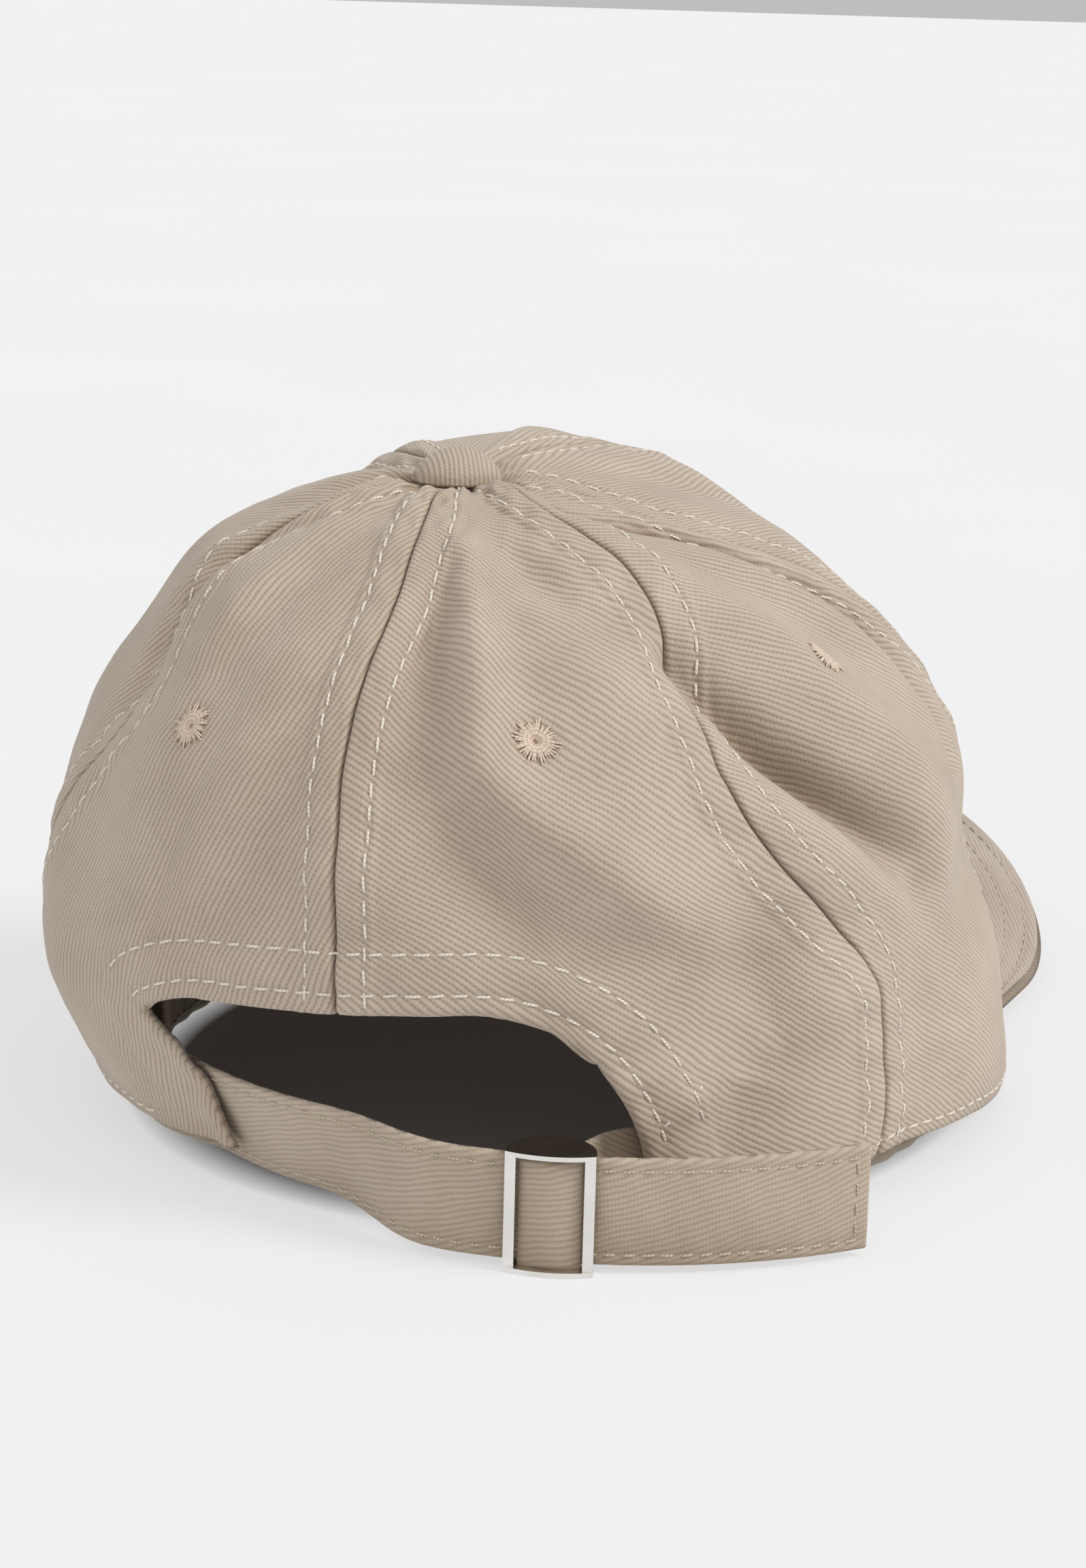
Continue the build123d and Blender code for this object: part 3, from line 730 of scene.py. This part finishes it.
def panel(name):
    """One panel's cloth. A back panel has a second sheet, which hangs beside the opening."""
    first, second = PANELS[name]
    back, left = name.startswith("back"), first == "back_left"
    own = [first, second]

    def seam_angle(which, t):
        angle = seam_at(which, t)
        return angle - 360 if left and which == "back_left" else angle

    def angles(t, share):
        a, b = seam_angle(first, t), seam_angle(second, t)
        return a + (np.where(b < a, b + 360, b) - a) * share

    v = packed(150, 0.02)
    sheets = []
    if back:
        # The opening's corner is a column of its own, so that both sheets meet there.
        corner = (ARCH_TOP[0] if left else ARCH_TOP[-1])[0]
        t0 = t_at(arch_line(corner))
        cut = float((corner - seam_angle(first, t0)) / (seam_angle(second, t0) - seam_angle(first, t0)))
        one, two = np.linspace(0, cut, 76 if left else 66), np.linspace(cut, 1, 66 if left else 76)
        u = np.concatenate([one, two[1:]])
        at = len(one) - 1
        u[1:-1] -= (0.022 * np.sin(2 * np.pi * u) * (np.abs(u - cut) > 0.02))[1:-1]
        u = np.sort(u)
        bottom = np.full(len(u), 0.3)
        for _ in range(8):
            bottom = t_at(arch_line(angles(bottom, u)))
    else:
        u = packed(140, 0.0315)
        bottom = rim_share(angles(np.zeros(len(u)), u))
    t = bottom[:, None] + (TOP - bottom[:, None]) * v
    b = angles(t, u[:, None])
    p, nrm = on_crown(b, t, 0.0, own)
    uv = np.stack([cloth_uv(p)[..., 0], t * LENGTH], -1)
    sheets.append((p, nrm, rotate_uv(uv, GRAIN[name])))
    if back:
        pick = slice(0, at + 1) if left else slice(at, None)
        b_top, t_top, uv_top = b[pick, 0], t[pick, 0], uv[pick, 0]
        side = ARCH_LEFT if left else ARCH_RIGHT[::-1]
        v2 = np.linspace(0, 1, 52)
        edge = curve(v2, [z / side[-1][1] for _, z in side], [a for a, _ in side])
        edge = edge + (b[at, 0] - edge[-1]) * v2 ** 4
        outer = first if left else second
        far_top = seam_angle(outer, t_top)
        near, other = (far_top, b[at, 0]) if left else (b[at, 0], far_top)
        s_col = (b_top - near) / (other - near)
        t2 = t_top[:, None] * v2
        far = seam_angle(outer, t2)
        b2 = far + (edge - far) * s_col[:, None] if left else edge + (far - edge) * s_col[:, None]
        b2[:, -1] = b_top
        p2, n2 = on_crown(b2, t2, 0.0, own)
        uv2 = np.stack([uv_top[:, None, 0] + np.radians(b2 - b_top[:, None]) * 72, t2 * LENGTH], -1)
        sheets.append((p2, n2, rotate_uv(uv2, GRAIN[name])))
    pts, faces, uvs = shell(sheets, CLOTH)
    made = write_mesh(name.replace("panel", "cloth"), pts, faces, uvs, TWILL)
    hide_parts(name)
    return made


panels = {name: panel(name) for name in PANELS}


# ---------------------------------------------------------------- stitches
def tubes(name, runs, sides, material):
    """Closed tubes in one mesh. A run is its line, thickness, side and up directions, and UV along it."""
    pts, faces, uvs, first = [], [], [], 0
    ang = np.arange(sides) * 2 * np.pi / sides
    for line, thick, side, up, along in runs:
        side, up = np.broadcast_to(side, line.shape), np.broadcast_to(up, line.shape)
        ring = np.cos(ang)[None, :, None] * side[:, None] + np.sin(ang)[None, :, None] * up[:, None]
        pts.append((line[:, None] + thick[:, None, None] * ring).reshape(-1, 3))
        uvs.append(np.stack(np.meshgrid(along, ang, indexing="ij"), -1).reshape(-1, 2))
        for i in range(len(line) - 1):
            a, b = first + i * sides, first + (i + 1) * sides
            faces += [(a + j, a + k, b + k, b + j) for j, k in enumerate([*range(1, sides), 0])]
        faces.append(tuple(range(first, first + sides))[::-1])
        first += len(line) * sides
        faces.append(tuple(range(first - sides, first)))
    made = write_mesh(name, np.concatenate(pts), faces, np.concatenate(uvs), material)
    return made


def stitches(name, points, normals, material=THREAD, pitch=PITCH, radius=0.26, lift=0.14, body=None):
    """Stitches along a line of surface points: short rounded threads whose ends dive into the cloth."""
    s = row_lengths(points)
    count = max(1, int(s[-1] / pitch))
    pitch = s[-1] / count
    q = np.linspace(-1, 1, 7)
    thick = radius * np.sqrt(np.clip(1 - np.abs(q) ** 5, 0.05, 1))
    dive = lift - 0.42 * np.abs(q[:, None]) ** 3
    runs = []
    for k in range(count):
        mid = (k + 0.5) * pitch
        half = pitch * 0.86 / 2 * rng.uniform(0.94, 1.04)
        slant = rng.uniform(-0.06, 0.06) + 0.05
        at = mid + q * half
        c = np.stack([np.interp(at, s, points[:, i]) for i in range(3)], 1)
        nn = unit(np.stack([np.interp(mid, s, normals[:, i]) for i in range(3)]))
        side = np.cross(nn, unit(c[-1] - c[0]))
        c = c + nn * dive + side * (slant * half * q[:, None])
        runs.append((c, thick, side, nn * 0.85, at))
    made = tubes(name, runs, 6, material)
    if body:
        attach(made, body)
    return made


def seam_rows(seam):
    """Two rows of top-stitching, one each side of a seam."""
    made = []
    # They start at the opening's edge, at the visor, or just above the rim, and stop short of the button.
    low = {"back": t_at(40.6), "front": t_at(26.5)}.get(seam, 0.012)
    t = np.linspace(low, 0.945, 260)
    for k, side in (("a", -1), ("b", 1)):
        b = seam_at(seam, t) + side * degrees_for(seam, t, 1.0) * seam_offset(t)
        p, n = on_crown(b, t, 0.0, SEAMS if seam == "back" else [seam])
        made.append(stitches(f"topstitch_{seam}_{k}", p, n))
    return made


stitched = {seam: seam_rows(seam) for seam in SEAMS}
for k, (b, z, _) in zip(("inner", "outer"), arch_rows):
    keep = z > 4
    p, n = on_crown(b[keep], t_at(z[keep]), 0.0, ["back_left", "back", "back_right"])
    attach(stitches(f"topstitch_opening_{k}", p, n), "crown")
# Hem rows along the rim, one for each side.
hem_rows = {}
for k, a, b in (("right", 146, 233), ("left", -60, 62)):
    angle = np.linspace(a, b, 420)
    t = rim_share(angle) + HEM_ROW / LENGTH
    p, n = on_crown(angle, t, 0.0, ["back_right", "front_right", "front_left", "back_left"])
    hem_rows[k] = stitches(f"topstitch_rim_{k}", p, n)
# The short bar of stitching that holds the anchor tab inside the back right panel.
bar = dense([(144.5, 19.5), (147.5, 23.0), (150.5, 26.5)], 40)
p, n = on_crown(bar[:, 0], t_at(bar[:, 1]), 0.0, ["back_right"])
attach(stitches("tab_bartack", p, n, pitch=2.2, radius=0.34), "crown")

# ---------------------------------------------------------------- eyelets
EYELET_THREADS = 40
eyelets = {}
for name, (eb, ez) in EYELETS.items():
    et = float(t_at(ez))
    c = crown(np.array(eb, float), np.array(et))
    # Millimetres for one degree and for one hundredth of the share.
    db = np.linalg.norm(crown(np.array(eb + 1.0), np.array(et)) - c)
    dt = np.linalg.norm(crown(np.array(eb, float), np.array(et + 0.01)) - c)
    fade = np.clip(np.sin(np.linspace(0.35, np.pi - 0.35, 7)) * 1.15, 0.3, 1)
    hump = 0.34 * np.sin(np.linspace(0.1, np.pi, 7)) + 0.04
    hump[0] -= 0.3
    hump[-1] -= 0.25
    runs = []
    for k in range(EYELET_THREADS):
        a = 2 * np.pi * (k + rng.uniform(-0.3, 0.3)) / EYELET_THREADS
        r = np.linspace(rng.uniform(0.05, 0.3), rng.uniform(3.2, 4.8), 7)
        q, nn = on_crown(eb + r * np.cos(a) / db, et + 0.01 * r * np.sin(a) / dt, 0.0, [])
        line = q + nn * hump[:, None]
        way = unit(np.gradient(line, axis=0))
        side = unit(np.cross(nn, way))
        runs.append((line, 0.24 * fade, side, np.cross(way, side), row_lengths(line)))
    eyelets[name] = tubes("eyelet_threads_" + name, runs, 5, EYELET_THREAD)
    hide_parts("eyelet_" + name)

# ---------------------------------------------------------------- linings
def lining(name, b, t, replaces):
    """A band of tape inside the crown: b and t are grids of points."""
    p, n = crown(b, t), normal_of(crown, b, t)
    out, inside = p - n * LINING_INSET, p - n * (LINING_INSET + LINING_THICK)
    pts, faces, uv = slab(out, inside, rotate_uv(cloth_uv(p), 45))
    made = write_mesh(name, pts, faces, uv, TAPE)
    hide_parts(replaces)
    return made


tapes = {}
for seam in SEAMS:
    low = t_at({"back": 47, "front": 57}.get(seam, 37))
    t = np.linspace(low, 0.85, 90)[None, :] * np.ones((9, 1))
    side = np.linspace(-6, 6, 9)[:, None]
    b = seam_at(seam, t) + side * degrees_for(seam, t, 1.0)
    tapes[seam] = lining("tape_" + seam, b, t, "seam_tape_" + seam)
b_a, z_a, _ = offset_line(arch_points, 0.6, 120)
b_b, z_b, _ = offset_line(arch_points, 9.0, 120)
share = np.linspace(0, 1, 8)[None, :]
b = b_a[:, None] + (b_b - b_a)[:, None] * share
t = t_at(z_a[:, None] + (z_b - z_a)[:, None] * share)
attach(lining("opening_facing", b, t, "arch_facing"), "crown")

# Sweatband: a soft upright band that follows the rim.
BAND_HEIGHT, BAND_STEPS = 28.5, 25
angle = np.radians(np.linspace(134, 412, 420))
A, H = np.meshgrid(angle, np.linspace(0, 1, BAND_STEPS + 1), indexing="ij")
bx, by = -1.5 + 77 * np.cos(A), 87 * np.sin(A)
base = front_rise(bx, by) + 1.2
puff = 0.9 * np.sin(np.pi * H) + 0.35 * np.cos(A * 37 + 3 * np.sin(A * 5)) * H
puff += 0.25 * np.cos(A * 61 + 2) * (1 - H)
out_n = np.stack([np.cos(A), np.sin(A), 0 * A], -1)
band = np.stack([bx, by, base + BAND_HEIGHT * H], -1) - out_n * puff[..., None]
thick = 1.5 * (1 - 0.6 * edge_share(np.minimum(H, 1 - H) * BAND_HEIGHT, 0.8))
skin = out_n * (thick / 2)[..., None]
pts, faces, uv = slab(band + skin, band - skin, rotate_uv(cloth_uv(band), 45))
sweatband = write_mesh("sweatband_cloth", pts, faces, uv, BAND)
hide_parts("sweatband")
band_rows = []
for k, level in (("low", 2.2), ("high", 25.8)):
    j = round(level / BAND_HEIGHT * BAND_STEPS)
    line = band[:, j] - out_n[:, j] * 0.85
    band_rows.append(stitches(f"sweatband_stitch_{k}", line, -out_n[:, j], TONE_THREAD, 3.2))

# ---------------------------------------------------------------- visor
VISOR_CORNERS = (222.5, 311.5)   # angles of the visor's rear corners
VISOR_ROWS = (4.5, 11, 17.5, 24, 30.5, 37)   # rows of stitching, in from the outer edge


def visor_rear(s):
    """The visor's back edge, just in front of the crown: from the wearer's right to the left."""
    first, last = VISOR_CORNERS
    b = first + (last - first) * s
    q = crown(b, rim_share(b) + 0.004)
    away = q[..., :2] - np.array([4.0, 0.0])
    away /= np.linalg.norm(away, axis=-1, keepdims=True)
    return q[..., :2] + away * 0.4


def visor_front(s):
    """The visor's outer edge seen from above, matched to the rear edge."""
    x_half, y0, tip = 70.5, -84.0, -157
    left = np.array([[-x_half, -50.0], [-x_half, y0]])
    a = np.linspace(np.pi, 2 * np.pi, 120)
    front = np.stack([x_half * np.cos(a), y0 + (y0 - tip) * np.sin(a)], 1)
    line = np.concatenate([left[:1], front, left[:1] * [-1, 1]])
    d = row_lengths(line)
    return np.stack([np.interp(s * d[-1], d, line[:, i]) for i in range(2)], -1)


def visor_point(s, r, height):
    """A point of the visor: s from right to left, r from rear to front, and its height."""
    rear = visor_rear(s)
    xy = rear + (visor_front(s) - rear) * r[..., None]
    out = np.minimum(np.abs(xy[..., 0]), VISOR_REACH)
    z = VISOR_AXIS_Z + np.sqrt((VISOR_UNDER + height) ** 2 - out**2)
    return np.concatenate([xy, z[..., None]], -1)


def visor_up(p):
    """The direction square to the visor's faces."""
    return unit(np.stack([p[..., 0], 0 * p[..., 0], p[..., 2] - VISOR_AXIS_Z], -1))


def visor_depth(s):
    return np.linalg.norm(visor_front(s) - visor_rear(s), axis=-1)


def visor_layer(name, low, high, replaces, turn_uv, sign):
    """The top cloth (sign 1) or the under cloth (sign -1), quilted on its outside face."""
    n, m = 200, 90
    s = np.linspace(0.0, 1.0, n)[:, None] * np.ones((1, m))
    r = (1 - (1 - np.linspace(0, 1, m)) ** 1.25)[None, :] * np.ones((n, 1))
    mid = visor_point(s, r, (low + high) / 2)
    gap = (1 - r) * visor_depth(s)
    quilt = sum(-0.22 * groove(gap - g, 0.9) for g in VISOR_ROWS)
    drop = 1.1 * round_off(gap, 2.4)
    soft = 0.10 * np.sin(s * 31) * np.sin(r * 9)
    axis = visor_up(mid)
    half = (high - low) / 2
    outside = mid + axis * (sign * (half + quilt - drop + soft))[..., None]
    inside = mid - axis * (sign * (half + drop * 0.8))[..., None]
    up, down = (outside, inside) if sign > 0 else (inside, outside)
    xy = np.stack([mid[..., 0] * 1.04, mid[..., 1]], -1)
    pts, faces, uv = slab(up, down, rotate_uv(xy, turn_uv))
    made = write_mesh(name, pts, [f[::-1] for f in faces], uv, DIMMED_VISOR_TWILL)
    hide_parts(replaces)
    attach(made, "visor")


visor_layer("visor_top_cloth", *VISOR_TOP, "visor_top_cover", 35, 1)
visor_layer("visor_under_cloth", *VISOR_BELOW, "visor_under_cover", -35, -1)
for tag, level, sign in (("top", VISOR_TOP[1], 1), ("under", VISOR_BELOW[0], -1)):
    for k, gap in enumerate(VISOR_ROWS):
        s = np.linspace(0.03 + 0.004 * k, 0.97 - 0.004 * k, 500)
        r = 1 - gap / visor_depth(s)
        keep = r > 0.06
        q = visor_point(s[keep], r[keep], level)
        axis = visor_up(q) * sign
        stitches(f"visor_stitch_{tag}_{k}", q - axis * 0.22, axis, TONE_THREAD, body="visor")

# ---------------------------------------------------------------- button
BUTTON_RADIUS, RISE, SEAT = 8.3, 5.4, 119.0
a = np.linspace(0, 2 * np.pi, 97)
R, A = np.meshgrid(np.linspace(0, 1, 40), a, indexing="ij")
ball = (BUTTON_RADIUS**2 + RISE**2) / (2 * RISE)
lat = R * math.asin(BUTTON_RADIUS / ball)
pleat = 1 + 0.010 * np.cos(A * 9 + 1.3) * R**4
rad = ball * np.sin(lat) * pleat
z = SEAT + RISE - ball * (1 - np.cos(lat)) - 0.5 * step(R, 0.86, 1.0)
over = np.stack([BUTTON[0] + rad * np.cos(A), BUTTON[1] + rad * np.sin(A), z], -1)
lip = np.linspace(0, 1, 8)[1:, None]
radius = BUTTON_RADIUS - 2.6 * lip + 0.5 * np.sin(np.pi * lip)
low = SEAT - 0.5 - 0.7 * np.sin(np.pi * lip * 0.5)
under = np.stack([BUTTON[0] + radius * np.cos(a), BUTTON[1] + radius * np.sin(a), low + 0 * a], -1)
q = np.concatenate([over, under])
button = write_mesh("button_cloth", q, grid_faces(*q.shape[:2], flip=True), rotate_uv(q[..., :2] * 1.3, 35), TWILL)
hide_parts("button_cover")
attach(button, "crown")

# ---------------------------------------------------------------- strap
STRAP_CENTRE = np.array([-14.5, 4.2])
STRAP_R, STRAP_LOW, STRAP_HIGH, STRAP_WIDE = 92.0, 1.1, 19.9, 18.8
STRAP_START, STRAP_END = 27.5, 142.0   # angles of the sewn end and the tail
STRAP_ROWS = (2.0 / STRAP_WIDE, 1 - 2.2 / STRAP_WIDE)


def outwards(angle):
    """The level direction at an angle about the strap's centre."""
    angle = np.radians(angle)
    return np.stack([np.cos(angle), np.sin(angle), 0 * angle], -1)


def on_strap(d, angle, z):
    """A point at a distance and an angle about the strap's centre."""
    return np.stack([STRAP_CENTRE[0] + d * np.cos(np.radians(angle)),
                     STRAP_CENTRE[1] + d * np.sin(np.radians(angle)), z], -1)


def band_edge(height, wide, reach):
    """1 on the two long edges of a band, 0 from the distance reach in."""
    return edge_share(np.minimum(height, 1 - height) * wide, reach)


def strap_surface(angle, height, inward=False):
    """A point on the strap's cloth; height runs 0 to 1 up the strap. Its left part lifts and leans."""
    angle, height = np.broadcast_arrays(np.asarray(angle, float), np.asarray(height, float))
    free = step(angle, 99, 78)
    lean = np.radians(19) * step(angle, 95, 78) * (0.3 + 0.7 * step(angle, 48, 64))
    drop = (1 - height) * (STRAP_HIGH - STRAP_LOW)
    z = STRAP_HIGH + 2.3 * free - drop * np.cos(lean)
    half = 0.9 * np.sqrt(1 - band_edge(height, STRAP_WIDE, 0.95) ** 2)
    rows = 0.16 * sum(groove((height - row) * STRAP_WIDE, 0.6) for row in STRAP_ROWS)
    pad = 0.10 * np.sin(angle * 1.7) * np.sin(height * 9)
    ends = np.sqrt(1 - edge_share(np.minimum(STRAP_END - angle, angle - STRAP_START) * 1.6, 0.9) ** 2)
    d = STRAP_R + (-(half - rows * 0.5) if inward else (half - rows + pad * 0.5)) * ends
    return on_strap(d - drop * np.sin(lean) - 1.6 * groove(angle - 86, 5.5), angle, z)


def closer_ends(low, high, border, few, many):
    """Values from low to high, with few steps in a narrow border at each end."""
    return np.concatenate([np.linspace(low, low + border, few)[:-1],
                           np.linspace(low + border, high - border, many),
                           np.linspace(high - border, high, few)[1:]])


A, H = np.meshgrid(closer_ends(STRAP_START, STRAP_END, 0.7, 6, 300), closer_ends(0, 1, 0.06, 8, 36),
                   indexing="ij")
outer, inner = strap_surface(A, H), strap_surface(A, H, True)
flat = np.stack([np.radians(A) * STRAP_R, H * STRAP_WIDE], -1)
pts, faces, uv = slab(outer, inner, rotate_uv(flat, 107))
strap = write_mesh("strap_cloth", pts, [f[::-1] for f in faces], uv, STRAP_TWILL)
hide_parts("strap")
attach(strap, "strap")
along = np.linspace(STRAP_START + 1, STRAP_END - 1.2, 500)
tail = np.full(60, STRAP_END - 1.7)
for k, angle, level, facing in (("low", along, STRAP_ROWS[0], along), ("high", along, STRAP_ROWS[1], along),
                                ("tail", tail, np.linspace(0.12, 0.88, 60), np.full(60, STRAP_END))):
    q = strap_surface(angle, level)
    stitches(f"strap_stitch_{k}", q, outwards(facing), TONE_THREAD, 3.2, 0.24, 0.10, "strap")

# The strap's cloth where it rides over the buckle's centre bar: it swells out through the window.
X, H = np.meshgrid(np.linspace(-1, 1, 40), np.linspace(0, 1, 44), indexing="ij")
bulge = 1.7 * np.sqrt(1 - X**2 * 0.92) - 0.1
d = 93.05 + bulge * np.sqrt(1 - band_edge(H, STRAP_WIDE, 1.2) ** 2 * 0.9)
angle = 108 - np.degrees(X * 5.2 / STRAP_R)
z = 1.2 + 18.5 * H - 0.9 * (1 - H) ** 3
flat = np.stack([-X * 6.5, H * STRAP_WIDE], -1)
pts, faces, uv = slab(on_strap(d, angle, z), on_strap(93.0, angle, z), rotate_uv(flat, 100))
swell = write_mesh("strap_over_bar", pts, faces, uv, STRAP_TWILL)
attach(swell, "crown")

# Anchor tab: looped round the centre bar and sewn inside the back right panel.
path = np.array([(-38.9, 90.3), (-40.6, 91.6), (-42.9, 91.0), (-43.6, 88.8), (-43.7, 84.0),
                 (-44.3, 79.0), (-46.0, 74.6), (-52.0, 68.6), (-60.0, 61.6)])
u = np.linspace(0, len(path) - 1, 110)
line = curve(u, np.arange(len(path)), path)
way = unit(np.gradient(line, axis=0))
side = np.stack([way[:, 1], -way[:, 0]], 1)[:, None]
along, H = np.meshgrid(row_lengths(line), np.linspace(0, 1, 34), indexing="ij")
half = 0.6 * np.sqrt(1 - band_edge(H, 17.2, 0.7) ** 2 * 0.95)[..., None]
z = (2.0 + 17.0 * H + 0.3 * np.sin(u[:, None]))[..., None]
out, inside = (np.concatenate([line[:, None] + side * h, z], -1) for h in (half, -half))
pts, faces, uv = slab(out, inside, rotate_uv(np.stack([along, H * 17], -1), 60))
tab = write_mesh("anchor_tab_cloth", pts, faces, uv, STRAP_TWILL)
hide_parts("anchor_tab")
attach(tab, "crown")

# ---------------------------------------------------------------- what moves with what
# The front of the crown is baked in place and left on no body; the rest rides on the crown.
FRONT = ("front_panel_right", "front_panel_left", "side_panel_right", "side_panel_left")
bending = [panels[n] for n in FRONT] + [sweatband] + band_rows + list(hem_rows.values())
bending += stitched["front"] + stitched["front_left"] + stitched["front_right"]
for piece in bending:
    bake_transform(piece)
riding = [panels["back_panel_left"], panels["back_panel_right"]] + list(tapes.values()) + list(eyelets.values())
riding += stitched["back"] + stitched["back_left"] + stitched["back_right"]
for piece in riding:
    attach(piece, "crown")

# ---------------------------------------------------------------- stage, lights, camera
scene = bpy.context.scene
floor_look, tree, shader = nodes_of("floor")
where = tree.nodes.new("ShaderNodeTexCoord").outputs["Object"]
paper = ramp(tree, noise(tree, where, 3, 2.0), [(0.3, (0.27, 0.27, 0.272)), (0.7, (0.28, 0.28, 0.282))])
tree.links.new(paper, shader.inputs["Base Color"])
# Painted light: the floor glows all round the cap to even out its shadows, and inside an oval under the cap the glow
# fades to a painted shadow.
SHADOW_OVAL = (0.0835, 0.0905)
side, depth = (maths(tree, "POWER", maths(tree, "DIVIDE", way, half), 2.0)
               for way, half in zip(split(tree, where), SHADOW_OVAL))
spot = maths(tree, "MULTIPLY", maths(tree, "ADD", side, depth), 0.5)
# Painted shadow inside the oval, painted glow outside it.
lit = ramp(tree, spot, [(0.36, (0.016, 0.013, 0.012)), (0.47, (0.59, 0.592, 0.598))])
tree.links.new(lit, shader.inputs["Emission Color"])
settle(shader, Emission_Strength=1.0, Roughness=0.95, Specular_IOR_Level=0.0)
bpy.ops.mesh.primitive_plane_add(size=50, location=(0, 0, -0.0002))
floor = bpy.context.object
floor.name = "floor"
floor.data.materials.append(floor_look)

world = bpy.data.worlds.new("studio")
scene.world = world
world.use_nodes = True
sky = world.node_tree
sky.nodes["Background"].inputs["Color"].default_value = (0.985, 0.99, 1.0, 1)
sky.nodes["Background"].inputs["Strength"].default_value = 0.52


def sun(name, towards, power, wide, colour=(1, 1, 1)):
    """A sun lamp that shines from the given direction, wide degrees across."""
    lamp = bpy.data.lights.new(name, "SUN")
    lamp.energy, lamp.angle, lamp.color = power, math.radians(wide), colour
    o = bpy.data.objects.new(name, lamp)
    o.location = Vector(towards)
    o.rotation_euler = Vector(towards).to_track_quat("Z", "Y").to_euler()
    scene.collection.objects.link(o)


sun("key", (-1.0, -0.22, 0.9), 1.8, 24, (1.0, 0.99, 0.975))
sun("fill", (1.0, 0.6, 0.8), 0.22, 80)
sun("overhead", (-0.2, 0.7, 0.8), 0.55, 90)

# Degrees to the wearer's right of straight behind, degrees up, distance in mm, lens in mm, roll in degrees.
CAMERA_TURN, CAMERA_RISE, CAMERA_FAR, CAMERA_LENS, CAMERA_ROLL = 24.8, 14.3, 603.0, 72.2, 1.5
a, e = math.radians(CAMERA_TURN), math.radians(CAMERA_RISE)
back = Vector((-math.sin(a) * math.cos(e), math.cos(a) * math.cos(e), math.sin(e)))
right = (-back).cross(Vector((0, 0, 1))).normalized()
target = right * -2.62 + Vector((0, 0, 56.5))
lens = bpy.data.cameras.new("camera")
lens.lens, lens.sensor_width, lens.sensor_fit = CAMERA_LENS, 36.0, "AUTO"
lens.clip_start, lens.clip_end = 0.02, 30
camera = bpy.data.objects.new("camera", lens)
camera.location = (target + back * CAMERA_FAR) * MM
look = (-back).to_track_quat("-Z", "Y").to_matrix()
camera.rotation_euler = (look @ Matrix.Rotation(math.radians(CAMERA_ROLL), 3, "Z")).to_euler()
scene.collection.objects.link(camera)
scene.camera = camera
scene.view_settings.view_transform = "Standard"
scene.view_settings.look = "None"
